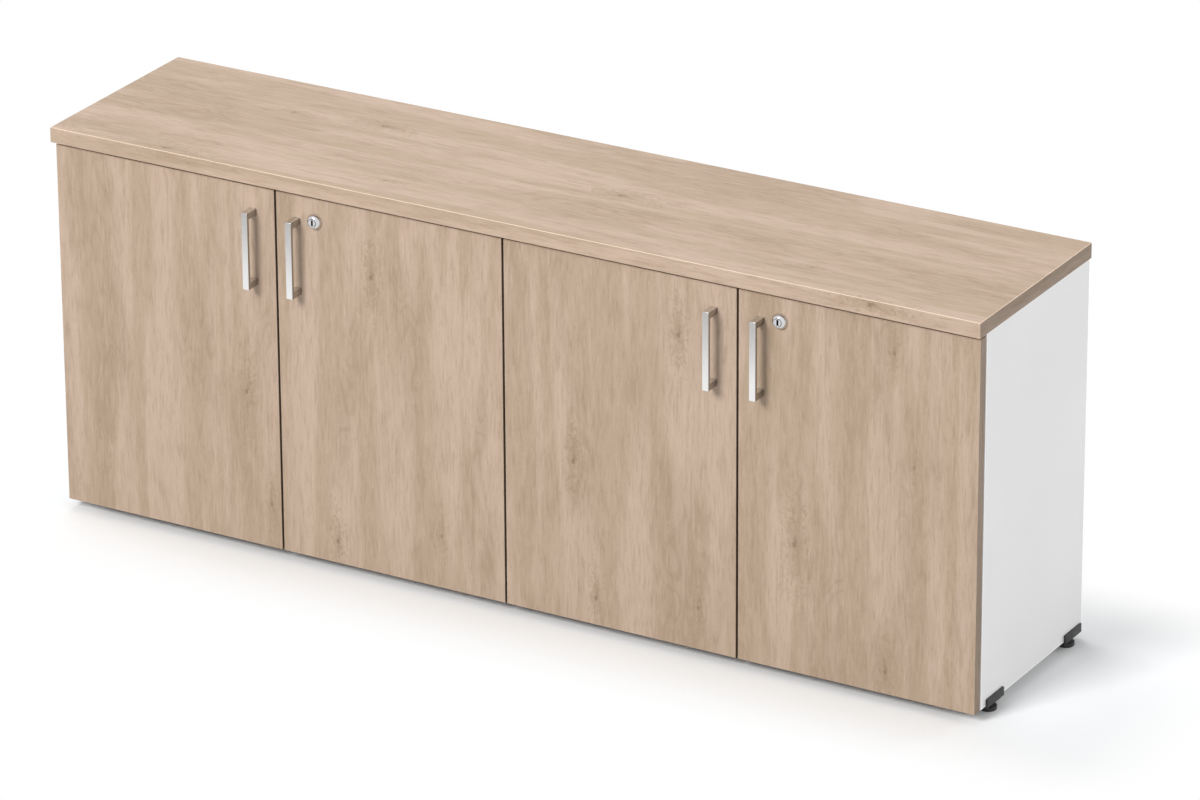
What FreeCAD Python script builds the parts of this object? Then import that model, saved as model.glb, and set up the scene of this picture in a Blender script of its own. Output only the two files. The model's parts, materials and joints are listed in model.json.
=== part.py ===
import FreeCAD, Part
import math
import os
from FreeCAD import Vector

# Office credenza: a low four-door cupboard on levelling glides, built board by board.
# Frame: millimetres, +X to the right seen from the front, +Y to the back, +Z up.
# Origin: on the floor, under the middle of the credenza's outer box.
# The left and right halves mirror each other, apart from the locks and the bolts.
# Doors are numbered 1 to 4 from the left; 2 and 4 have locks, 1 and 3 have bolts.

# ---- driving dimensions -------------------------------------------------------------------
WIDTH = 1800.0            # top, end to end
TOP_DEPTH = 400.0         # top, front to back
HEIGHT = 720.0            # floor to the top's upper face
TOP_THICK = 28.0
BOARD = 18.0              # doors, sides, partition, bottoms, rails and shelves
BACK_BOARD = 8.0
FLOOR_GAP = 18.0          # carcass above the floor
DOOR_TOP_GAP = 6.0        # door to the top's underside
DOOR_SEAM = 4.0           # between two doors
DOOR_BACK_GAP = 3.5       # door to the carcass's front edges
TOP_OVER_DOOR_END = 4.0   # top's end to the outer door's edge
TOP_OVER_SIDE = 3.5       # top's end to the side's outer face
TOP_OVER_FRONT = 10.0     # top's front to the doors' faces
DOOR_ROUND, TOP_ROUND = 1.0, 1.5                  # rounded edge bands
ARRIS = 0.7               # taken off the carcass boards' edge bands
RAIL_DEEP = 80.0          # cross rails under the top
SHELF_HIGH = 361.0        # shelf's upper face

HANDLE_REACH = 30.0       # door face to the front of the handle
HANDLE_CENTRES = 128.0    # hole to hole
HANDLE_BAR = 6.0          # bar, front to back
HANDLE_POST = 12.0        # posts, bottom to top
HANDLE_WIDE = 12.0        # bar and posts, seen from the front
HANDLE_INSET = 42.0       # handle's middle to the door's free edge
HANDLE_DROP = 40.0        # door's top to the handle's top

HINGE_FROM_END = 100.0    # hinge's middle to the door's end
PIVOT_IN = 8.25           # hinge axis in from the door's edge
PIVOT_DEEP = 8.5          # hinge axis behind the door's face
PIN_R = 1.25              # hinge pin
KNUCKLE_R = 2.3
CUP_R = 17.5
CUP_EDGE = 3.5            # cup's bore to the door's edge
CUP_DEEP = 13.2
CUP_WALL = 1.2
FLANGE = 1.2              # cup's flange on the door's back
STRAP = 2.4               # hinge arm's strap
STRAP_WIDE = 12.0
NECK_IN = 23.0            # strap's way out of the cup, in from the door's edge
ARM_RISE = 5.5            # strap's middle above the panel that carries it
ARM_LONG = 60.0           # arm's end behind the carcass's front edge

LOCK_INSET = 77.5         # lock's axis to the door's free edge
LOCK_DROP = 41.0          # lock's axis to the door's top
LOCK_ROSE_R = 14.0
LOCK_ROSE_OUT = 9.0       # rose stands this far out of the door
LOCK_BARREL_R = 9.5
LOCK_BARREL_BACK = 8.0    # barrel behind the door
LOCK_PLUG_R = 6.5
LOCK_SIDES = 28
LOCK_NUT_ACROSS, LOCK_NUT_THICK = 24.0, 4.0
CAM_THICK = 2.5
CAM_REACH = 25.0          # lock's axis to the tongue's tip
CAM_WIDE = 13.0
SQUARE = 8.0              # plug's square tail, through the cam
KEY_HIGH, KEY_WIDE, KEY_DEEP = 10.5, 2.4, 14.0

BOLT_INSET = 20.0         # bolt's middle to its door's free edge
BOLT_WIDE, BOLT_THICK, BOLT_LONG = 10.0, 4.0, 82.0
BOLT_TRAVEL = 12.0
BOLT_BEHIND = 8.0         # bolt's front face behind the door
CASE_LONG, CASE_WIDE = 55.0, 30.0

BRACKET_LONG = 60.0
BRACKET_IN = 52.0         # bracket's base under the cabinet
BRACKET_PLATE = 4.0       # outer plate of a foot bracket
BRACKET_BASE = 3.0
BRACKET_UP = 13.0         # plate's rise above the carcass's underside
NUT_ACROSS = 15.0         # moulded nut of a bracket
NUT_LOW = 11.5            # its lower end above the floor
GLIDE_INSET = 10.5        # glide's axis in from the side's outer face
GLIDE_R = 15.0
GLIDE_THICK = 7.0
STUD_R = 4.0
STUD_TOP = 40.0
STUD_SIDES = 12

SHELF_PIN_R = 2.5
SHELF_PIN_SIDES = 8
PIN_DEEP = 8.0            # pin inside its panel
BUFFER_R = 4.0

RUNNING = 0.05            # radial clearance of a turning or sliding fit
SLIP = 0.2                # back board's play in its grooves

# ---- positions worked out from them ---------------------------------------------------------
OUTER_DEPTH = TOP_DEPTH - TOP_OVER_FRONT + HANDLE_REACH
FRONT = -OUTER_DEPTH / 2 + HANDLE_REACH           # doors' faces
BACK = OUTER_DEPTH / 2                            # back of the carcass and the top
DOOR_BACK = FRONT + BOARD
CARCASS = DOOR_BACK + DOOR_BACK_GAP               # carcass's front edges
TOP_UNDER = HEIGHT - TOP_THICK
DOOR_LOW = FLOOR_GAP
DOOR_HIGH = TOP_UNDER - DOOR_TOP_GAP
DOOR_END = WIDTH / 2 - TOP_OVER_DOOR_END
DOOR_WIDE = (2 * DOOR_END - 3 * DOOR_SEAM) / 4
SIDE_OUT = WIDTH / 2 - TOP_OVER_SIDE
SIDE_IN = SIDE_OUT - BOARD
MID = BOARD / 2                                   # partition's half thickness
PAIR_SEAM = DOOR_SEAM + DOOR_WIDE                 # middle of the seam between a pair of doors
BACK_BOARD_Y = BACK - 10.0 - BACK_BOARD           # back board's front face
RAIL_LOW = TOP_UNDER - BOARD
HINGES_Z = (DOOR_LOW + HINGE_FROM_END, DOOR_HIGH - HINGE_FROM_END)
HANDLE_HIGH = DOOR_HIGH - HANDLE_DROP
HANDLE_LOW = HANDLE_HIGH - HANDLE_CENTRES - HANDLE_POST
LOCK_Z = DOOR_HIGH - LOCK_DROP
PLATE_Y = CARCASS + 37.0                          # middle of the hinge plates
PINS_Y = (PLATE_Y, BACK_BOARD_Y - 37.0)           # rows of shelf-pin holes
PINS_Z = SHELF_HIGH - BOARD - SHELF_PIN_R
GLIDES_Y = (CARCASS + 18.0 + BRACKET_LONG / 2, BACK - 4.5 - BRACKET_LONG / 2)
CAM_FRONT = DOOR_BACK + LOCK_BARREL_BACK + 0.5
KEEPER_Y = CAM_FRONT - 3.0                        # hanging leg, just in front of the raised cam
BOLT_Y = DOOR_BACK + BOLT_BEHIND
LOCK_X = {2: LOCK_INSET - DOOR_SEAM / 2 - DOOR_WIDE, 4: DOOR_END - DOOR_WIDE + LOCK_INSET}
BOLT_X = {1: DOOR_WIDE - DOOR_END - BOLT_INSET, 3: DOOR_SEAM / 2 + DOOR_WIDE - BOLT_INSET}

X, Y, Z = Vector(1, 0, 0), Vector(0, 1, 0), Vector(0, 0, 1)


# ---- helpers ----------------------------------------------------------------------------------
def box(x0, x1, y0, y1, z0, z1):
    return Part.makeBox(x1 - x0, y1 - y0, z1 - z0, Vector(x0, y0, z0))


def rod(at, along, radius, length):
    return Part.makeCylinder(radius, length, Vector(*at), along)


def turned(profile, at, along, sides):
    """A turned piece, drawn with flats: (radius, height) points from its foot to its top."""
    turns = [2 * math.pi * n / sides for n in range(sides)]
    rings = [[Vector(r * math.cos(a), r * math.sin(a), h) for a in turns] for r, h in profile]
    faces = [Part.Face(Part.makePolygon(ring + ring[:1])) for ring in (rings[0], rings[-1])]
    for below, above in zip(rings, rings[1:]):
        for n in range(sides):
            corners = [below[n - 1], below[n], above[n], above[n - 1], below[n - 1]]
            faces.append(Part.Face(Part.makePolygon(corners)))
    shape = Part.Solid(Part.Shell(faces)).removeSplitter()
    shape.Placement = FreeCAD.Placement(Vector(*at), FreeCAD.Rotation(Z, along))
    return shape


def flatted_rod(at, along, radius, length, sides):
    return turned([(radius, 0), (radius, length)], at, along, sides)


def bore(at, along, radius, length, sides):
    """What cuts a hole whose flats stay clear of a round piece of the given radius."""
    return flatted_rod(at, along, radius / math.cos(math.pi / sides), length, sides)


def corner_arc(before, corner, after, radius):
    """The arc that rounds a corner, with the points where it leaves the two straight runs."""
    back, on = (before - corner).normalize(), (after - corner).normalize()
    half = back.getAngle(on) / 2
    reach = radius / math.tan(half)
    start, end = corner + back * reach, corner + on * reach
    crown = corner + (back + on).normalize() * (radius / math.sin(half) - radius)
    return start, Part.Arc(start, crown, end).toShape(), end


def plate(corners, radii, plane, low, thick):
    """A flat piece: (a, b) corners with their radii, in plane xy, yz or xz, given a thickness."""
    across, up, way = {"xy": (X, Y, Z), "yz": (Y, Z, X), "xz": (X, Z, Y)}[plane]
    points = [across * a + up * b + way * low for a, b in corners]
    edges, ends = [], []
    for i, point in enumerate(points):
        if not radii[i]:
            ends.append((point, point))
            continue
        start, arc, end = corner_arc(points[i - 1], point, points[(i + 1) % len(points)], radii[i])
        edges.append(arc)
        ends.append((start, end))
    for i, (_, leaving) in enumerate(ends):
        arriving = ends[(i + 1) % len(ends)][0]
        edges.append(Part.LineSegment(leaving, arriving).toShape())
    return Part.Face(Part.Wire(Part.__sortEdges__(edges))).extrude(way * thick)


def bent_path(points, radii):
    """A path of straight runs; each inner corner has its radius, or 0 for a mitre."""
    edges, here = [], points[0]
    for before, corner, after, radius in zip(points, points[1:], points[2:], radii):
        start, end = corner, corner
        if radius:
            start, arc, end = corner_arc(before, corner, after, radius)
        edges.append(Part.LineSegment(here, start).toShape())
        edges += [arc] if radius else []
        here = end
    edges.append(Part.LineSegment(here, points[-1]).toShape())
    return Part.Wire(edges)


def oblong(a0, a1, b0, b1):
    return [(a0, b0), (a1, b0), (a1, b1), (a0, b1)]


def cropped(a0, a1, b0, b1, crop):
    """An oblong with its corners cut off at 45 degrees."""
    return [(a0 + crop, b0), (a1 - crop, b0), (a1, b0 + crop), (a1, b1 - crop),
            (a1 - crop, b1), (a0 + crop, b1), (a0, b1 - crop), (a0, b0 + crop)]


def flat(corners, plane, low, thick):
    return plate(corners, [0] * len(corners), plane, low, thick)


def hexagon(at, along, across, length):
    return flatted_rod(at, along, across / math.sqrt(3), length, 6)


def picked(shape, chosen):
    """The straight edges that chosen(edge's middle, edge's direction) accepts."""
    edges = []
    for edge in shape.Edges:
        start, end = edge.Vertexes[0].Point, edge.Vertexes[-1].Point
        if chosen((start + end) / 2, (end - start).normalize()):
            edges.append(edge)
    return edges


def eased_front(board):
    """Takes the long arrises off a carcass board's edge band."""
    long_way = Z if board.BoundBox.ZLength > board.BoundBox.XLength else X
    front = board.BoundBox.YMin
    arrises = picked(board, lambda at, way: at.y < front + 0.1 and abs(way.dot(long_way)) > 0.5)
    return board.makeChamfer(ARRIS, arrises)


def mirrored(shape):
    """The same piece for the other half of the credenza."""
    return shape.mirror(Vector(), X)


def moved(shape, x=0.0, y=0.0, z=0.0):
    copy = shape.copy()
    copy.translate(Vector(x, y, z))
    return copy


def without(shape, tools):
    return shape.cut(Part.makeCompound(tools)) if tools else shape


def both_halves(solids):
    return solids + [mirrored(solid) for solid in solids]


def save(name, solids):
    shape = solids[0] if len(solids) == 1 else Part.makeCompound(solids)
    for solid in shape.Solids:
        assert solid.isValid() and solid.Volume > 0, name
    shape.exportStep("parts/" + name + ".step")
    print(name, len(shape.Solids), "solids", round(shape.Volume / 1000, 1), "cm3")


# ---- concealed hinges -------------------------------------------------------------------------
# A hinge is drawn for a door whose left edge is at x = 0, with z = 0 at the hinge's middle.
# The pin stands in the cup, and the arm's swan neck reaches from the carcass into the cup and
# round the door's back corner, so the door turns on one true axis inside its own thickness.
CUP_X = CUP_EDGE + CUP_R
PIVOT_Y = FRONT + PIVOT_DEEP
CUP_SIDES = 20
KNUCKLE_SIDES = 12
CHEEK = 2.0                                       # cup's inner cheeks, which hold the pin
CHEEK_OUT = STRAP_WIDE / 2 + 0.6 + CHEEK


def hinge_cup():
    """A die-cast cup let into the door, with two eared flanges and cheeks for the pin."""
    bowl = turned([(CUP_R, -CUP_DEEP), (CUP_R, 0), (CUP_R + 1, 0), (CUP_R + 1, FLANGE)],
                  (CUP_X, DOOR_BACK, 0), Y, CUP_SIDES)
    ear_end = 30.5
    ears = flat(cropped(CUP_X - 7, CUP_X + 13, -ear_end, ear_end, 4.0), "xz", DOOR_BACK, FLANGE)
    floor = DOOR_BACK - CUP_DEEP + 1.0
    hollow = flatted_rod((CUP_X, floor, 0), Y, CUP_R - CUP_WALL, CUP_DEEP + FLANGE, CUP_SIDES)
    for side in (-1, 1):
        z0, z1 = sorted((side * (CHEEK_OUT - CHEEK), side * CHEEK_OUT))
        hollow = hollow.cut(box(0, PIVOT_IN + 5, PIVOT_Y - 5, DOOR_BACK, z0, z1))
    cup = bowl.fuse(ears).removeSplitter().cut(hollow)
    pin = rod((PIVOT_IN, PIVOT_Y, -CHEEK_OUT + 1), Z, PIN_R, 2 * CHEEK_OUT - 2)
    return cup.fuse(pin)


def cup_bore():
    return flatted_rod((CUP_X, DOOR_BACK - CUP_DEEP - 0.2, 0), Y, CUP_R + 0.1, CUP_DEEP + 1, CUP_SIDES)


def hinge_arm(panel):
    """A strap bent out of the cup and cranked to the panel, with cheeks over its plate's ridge."""
    run = panel + ARM_RISE
    points = [Vector(PIVOT_IN, PIVOT_Y, 0), Vector(NECK_IN, PIVOT_Y, 0)]
    if run < NECK_IN - 0.1:
        points += [Vector(NECK_IN, CARCASS + 2, 0), Vector(run, CARCASS + 13, 0)]
    points.append(Vector(run, CARCASS + ARM_LONG, 0))
    half_t, half_w = STRAP / 2, STRAP_WIDE / 2
    section = [points[0] + Vector(0, a, b) for a, b in oblong(-half_t, half_t, -half_w, half_w)]
    path = bent_path(points, [3.5, 0, 0])
    strap = path.makePipeShell([Part.makePolygon(section + section[:1])], True, False, 1)
    knuckle = flatted_rod((PIVOT_IN, PIVOT_Y, -half_w), Z, KNUCKLE_R, STRAP_WIDE, KNUCKLE_SIDES)
    foot = panel + 2.2
    outline = [(foot, CARCASS + 21), (run + half_t, CARCASS + 17), (run + half_t, CARCASS + ARM_LONG),
               (foot, CARCASS + ARM_LONG)]
    cheeks = [flat(outline, "xy", low, 1.6) for low in (-half_w - 1.6, half_w)]
    arm = strap.fuse([knuckle] + cheeks).removeSplitter()
    eye = bore((PIVOT_IN, PIVOT_Y, -half_w - 1), Z, PIN_R + RUNNING, STRAP_WIDE + 2, KNUCKLE_SIDES)
    return arm.cut(eye)


def hinge_plate(panel):
    """Two wings on the panel and a ridge that the arm is clamped on."""
    wings = flat(cropped(PLATE_Y - 9, PLATE_Y + 9, -24, 24, 5.0), "yz", panel, 2.0)
    half = STRAP_WIDE / 2 - 0.1
    ridge = box(panel, panel + ARM_RISE - STRAP / 2, CARCASS + 17, CARCASS + ARM_LONG - 2, -half, half)
    return wings.fuse(ridge).removeSplitter()


def at_hinges(solids, edge):
    """The pieces of a hinge at both heights of the door that has its left edge there."""
    return [moved(solid, edge, 0, z) for z in HINGES_Z for solid in solids]


# the left-hinged doors are 1, over a side, and 3, over half of the partition
HINGE_EDGE = {1: -DOOR_END, 3: DOOR_SEAM / 2}
PANEL_IN = {1: DOOR_END - SIDE_IN, 3: MID - DOOR_SEAM / 2}
arms = {n: both_halves(at_hinges([hinge_arm(PANEL_IN[n])], HINGE_EDGE[n])) for n in (1, 3)}
plates = [solid for n in (1, 3) for solid in at_hinges([hinge_plate(PANEL_IN[n])], HINGE_EDGE[n])]
save("hinge_arms_outer", arms[1])
save("hinge_arms_centre", arms[3])
save("hinge_plates", both_halves(plates))


# ---- feet -------------------------------------------------------------------------------------
def glide(x, y):
    """A moulded disc and a hexagon to turn it by, on a stud that screws up into its bracket."""
    profile = [(GLIDE_R, 0), (GLIDE_R, GLIDE_THICK - 1.5), (GLIDE_R - 2.5, GLIDE_THICK)]
    disc = turned(profile, (x, y, 0), Z, 24)
    stud = flatted_rod((x, y, GLIDE_THICK), Z, STUD_R, STUD_TOP - GLIDE_THICK, STUD_SIDES)
    hub = hexagon((x, y, GLIDE_THICK), Z, 13.0, NUT_LOW - 1.5 - GLIDE_THICK)
    return disc.fuse([stud, hub]).removeSplitter()


def nut_and_hole(x, y):
    nut = hexagon((x, y, NUT_LOW), Z, NUT_ACROSS, FLOOR_GAP - BRACKET_BASE - NUT_LOW)
    return nut, bore((x, y, NUT_LOW - 1), Z, STUD_R + RUNNING, FLOOR_GAP + 2 - NUT_LOW, STUD_SIDES)


def side_bracket(y):
    """Right-hand side: a base under the cabinet with a plate up the side's outer face."""
    out, half, low = SIDE_OUT + BRACKET_PLATE, BRACKET_LONG / 2, FLOOR_GAP - BRACKET_BASE
    inner = SIDE_OUT - BRACKET_IN
    base = flat([(inner, y - half + 7), (inner + 7, y - half), (out, y - half), (out, y + half),
                 (inner + 7, y + half), (inner, y + half - 7)], "xy", low, BRACKET_BASE)
    upright = box(SIDE_OUT, out, y - half, y + half, low, FLOOR_GAP + BRACKET_UP)
    nut, hole = nut_and_hole(SIDE_OUT - GLIDE_INSET, y)
    return base.fuse([upright, nut]).removeSplitter().cut(hole)


def centre_bracket(y):
    """A plate across the joint of the two bottoms, under the partition."""
    half = BRACKET_LONG / 2
    base = flat(cropped(-half, half, y - half, y + half, 7.0), "xy", FLOOR_GAP - BRACKET_BASE, BRACKET_BASE)
    nut, hole = nut_and_hole(0, y)
    return base.fuse(nut).removeSplitter().cut(hole)


def stud_wells(x):
    deep = STUD_TOP + 7 - FLOOR_GAP
    return [bore((x, y, FLOOR_GAP - 1), Z, STUD_R + 0.5, deep + 1, STUD_SIDES) for y in GLIDES_Y]


save("foot_brackets_side", both_halves([side_bracket(y) for y in GLIDES_Y]))
save("foot_brackets_centre", [centre_bracket(y) for y in GLIDES_Y])
for side, glide_x in (("left", GLIDE_INSET - SIDE_OUT), ("centre", 0.0), ("right", SIDE_OUT - GLIDE_INSET)):
    for place, glide_y in zip(("front", "rear"), GLIDES_Y):
        save("glide_" + place + "_" + side, [glide(glide_x, glide_y)])


# ---- boards -------------------------------------------------------------------------------------
GROOVE = 8.0                  # groove for the back board in the sides and bottoms
SHALLOW = 5.0                 # and in the partition, which has one on each face


def back_groove(x0, x1, z0, z1):
    return box(x0, x1, BACK_BOARD_Y - SLIP / 2, BACK_BOARD_Y + BACK_BOARD + SLIP / 2, z0, z1)


def pin_hole(face, inward, y):
    start = (face - inward * PIN_DEEP, y, PINS_Z)
    return flatted_rod(start, X * inward, SHELF_PIN_R, PIN_DEEP + 1, SHELF_PIN_SIDES)


def shelf_pin(face, inward, y):
    """A pin in the panel with a flat step that the shelf lies on."""
    out = 9.0
    start = (face - inward * PIN_DEEP, y, PINS_Z)
    pin = flatted_rod(start, X * inward, SHELF_PIN_R, PIN_DEEP + out, SHELF_PIN_SIDES)
    x0, x1 = sorted((face, face + inward * out))
    top = SHELF_HIGH - BOARD
    step = box(x0, x1, y - 5, y + 5, top - 2.0, top)
    return pin.fuse(step).removeSplitter()


def top_panel():
    board = box(-WIDTH / 2, WIDTH / 2, BACK - TOP_DEPTH, BACK, TOP_UNDER, HEIGHT)
    return board.makeFillet(TOP_ROUND, picked(board, lambda at, way: abs(way.z) < 0.5 and at.y < BACK - 1))


def side_panel_right():
    board = eased_front(box(SIDE_IN, SIDE_OUT, CARCASS, BACK, FLOOR_GAP, TOP_UNDER))
    groove = back_groove(SIDE_IN - 1, SIDE_IN + GROOVE, FLOOR_GAP - 1, TOP_UNDER + 1)
    holes = [pin_hole(SIDE_IN, -1, y) for y in PINS_Y]
    return without(board, stud_wells(SIDE_OUT - GLIDE_INSET) + [groove] + holes)


def centre_partition():
    board = eased_front(box(-MID, MID, CARCASS, BACK, FLOOR_GAP, TOP_UNDER))
    groove = back_groove(MID - SHALLOW, MID + 1, FLOOR_GAP - 1, TOP_UNDER + 1)
    holes = [pin_hole(MID, 1, y) for y in PINS_Y]
    return without(board, stud_wells(0) + both_halves([groove] + holes))


def bottom_panel_left():
    board = eased_front(box(-SIDE_IN, -MID, CARCASS, BACK, FLOOR_GAP, FLOOR_GAP + BOARD))
    top = FLOOR_GAP + BOARD
    return board.cut(back_groove(-SIDE_IN - 1, -MID + 1, top - GROOVE, top + 1))


def back_panel_left():
    into = 0.5
    return box(into - SIDE_IN - GROOVE, -MID + SHALLOW - into, BACK_BOARD_Y, BACK_BOARD_Y + BACK_BOARD,
               FLOOR_GAP + BOARD - GROOVE + into, TOP_UNDER - into)


def front_rail_left():
    """Lies flat under the top; the bolt of door 1 shoots into a mortise in it."""
    board = eased_front(box(-SIDE_IN, -MID, CARCASS, CARCASS + RAIL_DEEP, RAIL_LOW, TOP_UNDER))
    return board.cut(bolt_way(BOLT_X[1], RAIL_LOW - 1, RAIL_LOW + BOLT_TRAVEL))


def rear_rail_left():
    back = BACK_BOARD_Y - SLIP
    return box(-SIDE_IN, -MID, back - RAIL_DEEP, back, RAIL_LOW, TOP_UNDER)


def shelf_left():
    """The loose shelf lies on four pins, with play at both ends."""
    play = 1.0
    front, back = CARCASS + 22, BACK_BOARD_Y - 4
    return eased_front(box(play - SIDE_IN, -MID - play, front, back, SHELF_HIGH - BOARD, SHELF_HIGH))


def bolt_way(x, low, high):
    """The room that a shot bolt takes up, with play all round."""
    play = 0.5
    half = BOLT_WIDE / 2 + play
    return box(x - half, x + half, BOLT_Y - play, BOLT_Y + BOLT_THICK + play, low, high)


def front_rail_right():
    board = eased_front(box(MID, SIDE_IN, CARCASS, CARCASS + RAIL_DEEP, RAIL_LOW, TOP_UNDER))
    return board.cut(bolt_way(BOLT_X[3], RAIL_LOW - 1, RAIL_LOW + BOLT_TRAVEL))


right_side = side_panel_right()
save("top_panel", [top_panel()])
save("side_panel_right", [right_side])
save("side_panel_left", [mirrored(right_side)])
save("centre_partition", [centre_partition()])
save("front_rail_left", [front_rail_left()])
save("front_rail_right", [front_rail_right()])
left_boards = {"bottom_panel": bottom_panel_left(), "back_panel": back_panel_left(),
               "rear_rail": rear_rail_left(), "shelf": shelf_left()}
for board_name, left_board in left_boards.items():
    save(board_name + "_left", [left_board])
    save(board_name + "_right", [mirrored(left_board)])
left_pins = [shelf_pin(face, way, y) for face, way in ((-SIDE_IN, 1), (-MID, -1)) for y in PINS_Y]
save("shelf_pins", both_halves(left_pins))


# ---- keepers and buffers on the carcass ------------------------------------------------------------
def lock_keeper(x):
    """A steel angle under the rail; the cam turns up behind its hanging leg."""
    half, thick, drop = 16.0, 2.0, 17.0
    corners = oblong(x - half, x + half, RAIL_LOW - drop, RAIL_LOW)
    leg = plate(corners, [3.0, 3.0, 0, 0], "xz", KEEPER_Y, thick)
    foot = box(x - half, x + half, KEEPER_Y, KEEPER_Y + 22, RAIL_LOW - thick, RAIL_LOW)
    return leg.fuse(foot).removeSplitter()


def bolt_keeper(x):
    """A slotted plate over the mortise that the bolt shoots into."""
    thick = 1.5
    outline = cropped(x - 18, x + 18, BOLT_Y - 3.5, BOLT_Y + BOLT_THICK + 5, 2.0)
    return flat(outline, "xy", RAIL_LOW - thick, thick).cut(bolt_way(x, RAIL_LOW - 3, RAIL_LOW + 1))


def door_buffers():
    """Soft pads on the carcass's front edges, where the doors' free edges close."""
    heights = (FLOOR_GAP + BOARD / 2, RAIL_LOW + BOARD / 2)
    return [flatted_rod((PAIR_SEAM + off, CARCASS, z), -Y, BUFFER_R, DOOR_BACK_GAP - 0.4, 8)
            for off in (-30, 30) for z in heights]


save("lock_keepers", [lock_keeper(x) for x in LOCK_X.values()])
save("bolt_keepers", [bolt_keeper(x) for x in BOLT_X.values()])
save("door_buffers", both_halves(door_buffers()))


# ---- locks -----------------------------------------------------------------------------------------
def lock_housing(x):
    """The rose, a bevelled dome, turned in one piece with the barrel through the door."""
    face = BOARD + LOCK_ROSE_OUT
    profile = [(LOCK_BARREL_R, -LOCK_BARREL_BACK), (LOCK_BARREL_R, BOARD),
               (LOCK_ROSE_R, BOARD), (LOCK_ROSE_R, BOARD + 1.8), (LOCK_ROSE_R - 1.6, BOARD + 5.2),
               (LOCK_ROSE_R - 5.4, face)]
    housing = turned(profile, (x, DOOR_BACK, LOCK_Z), -Y, LOCK_SIDES)
    way = bore((x, FRONT - LOCK_ROSE_OUT - 1, LOCK_Z), Y, LOCK_PLUG_R + RUNNING, 40.0, LOCK_SIDES)
    return housing.cut(way)


def lock_nut(x):
    """A hexagon that clamps the housing against the door's back."""
    nut = hexagon((x, DOOR_BACK, LOCK_Z), Y, LOCK_NUT_ACROSS, LOCK_NUT_THICK)
    hole = flatted_rod((x, DOOR_BACK - 1, LOCK_Z), Y, LOCK_BARREL_R + 0.1, LOCK_NUT_THICK + 2, LOCK_SIDES)
    return nut.cut(hole)


def square_tail(x, play):
    half = SQUARE / 2 + play
    return box(x - half, x + half, CAM_FRONT, CAM_FRONT + CAM_THICK, LOCK_Z - half, LOCK_Z + half)


def lock_plug(x):
    """What the key turns: a slotted face in front, a square tail and a screw head behind."""
    front = FRONT - LOCK_ROSE_OUT - 0.3
    body = rod((x, front, LOCK_Z), Y, LOCK_PLUG_R, CAM_FRONT - front)
    head = hexagon((x, CAM_FRONT + CAM_THICK, LOCK_Z), Y, 10.0, 2.5)
    low, high = LOCK_Z - KEY_HIGH / 2, LOCK_Z + KEY_HIGH / 2
    keyway = box(x - KEY_WIDE / 2, x + KEY_WIDE / 2, front, front + KEY_DEEP, low, high)
    return body.fuse([square_tail(x, 0), head]).removeSplitter().cut(keyway)


def lock_cam(x):
    """A tongue that lies level when open; a quarter turn lifts it behind the keeper."""
    hub = flatted_rod((x, CAM_FRONT, LOCK_Z), Y, 8.0, CAM_THICK, 16)
    half = CAM_WIDE / 2
    ends = oblong(x - CAM_REACH, x, LOCK_Z - half, LOCK_Z + half)
    tongue = plate(ends, [4.0, 0, 0, 4.0], "xz", CAM_FRONT, CAM_THICK)
    return tongue.fuse(hub).removeSplitter().cut(square_tail(x, 0.05))


for number, lock_x in LOCK_X.items():
    lock = "lock_" + str(number)
    save(lock + "_housing", [lock_housing(lock_x)])
    save(lock + "_nut", [lock_nut(lock_x)])
    save(lock + "_plug", [lock_plug(lock_x)])
    save(lock + "_cam", [lock_cam(lock_x)])


# ---- bolts on the doors that have no lock -------------------------------------------------------------
BOLT_TOP = RAIL_LOW - 4.0
CASE_HIGH = BOLT_TOP - 15.0
THUMB_Z = CASE_HIGH - CASE_LONG / 2


def bolt_case(x):
    """A flat case with side flanges, a channel for the bolt and a slot for its thumb piece."""
    low, back, play = CASE_HIGH - CASE_LONG, BOLT_Y + BOLT_THICK + 2.5, 0.3
    half = CASE_WIDE / 2
    flange = flat(cropped(x - half, x + half, low, CASE_HIGH, 3.0), "xz", DOOR_BACK, 1.5)
    hump = box(x - 9, x + 9, DOOR_BACK, back, low, CASE_HIGH)
    hump = hump.makeChamfer(1.5, picked(hump, lambda at, way: at.y > back - 0.1 and abs(way.z) > 0.5))
    half = BOLT_WIDE / 2 + play
    channel = box(x - half, x + half, BOLT_Y - play, BOLT_Y + BOLT_THICK + play, low, CASE_HIGH)
    hollow = box(x - 7.5, x + 7.5, DOOR_BACK, BOLT_Y - 1.5, low + 3, CASE_HIGH - 3)
    slot = box(x - 3.4, x + 3.4, BOLT_Y, back, THUMB_Z - 3.4, THUMB_Z + 3.4 + BOLT_TRAVEL)
    return without(flange.fuse(hump).removeSplitter(), [channel, hollow, slot])


def bolt_rod(x):
    """The bolt itself, with a bevelled tip and a round thumb piece."""
    half = BOLT_WIDE / 2
    bar = box(x - half, x + half, BOLT_Y, BOLT_Y + BOLT_THICK, BOLT_TOP - BOLT_LONG, BOLT_TOP)
    tip = [edge for edge in bar.Edges if edge.BoundBox.ZMin > BOLT_TOP - 0.1 and edge.BoundBox.YLength > 1]
    neck, head = 3.0, 5.0
    thumb = turned([(neck, 0), (neck, 6.0), (head, 7.0), (head, 10.0), (head - 1, 11.0)],
                   (x, BOLT_Y + BOLT_THICK / 2, THUMB_Z), Y, 16)
    return bar.makeChamfer(2.0, tip).fuse(thumb).removeSplitter()


for number, bolt_x in BOLT_X.items():
    save("bolt_" + str(number) + "_case", [bolt_case(bolt_x)])
    save("bolt_" + str(number) + "_rod", [bolt_rod(bolt_x)])


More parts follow.
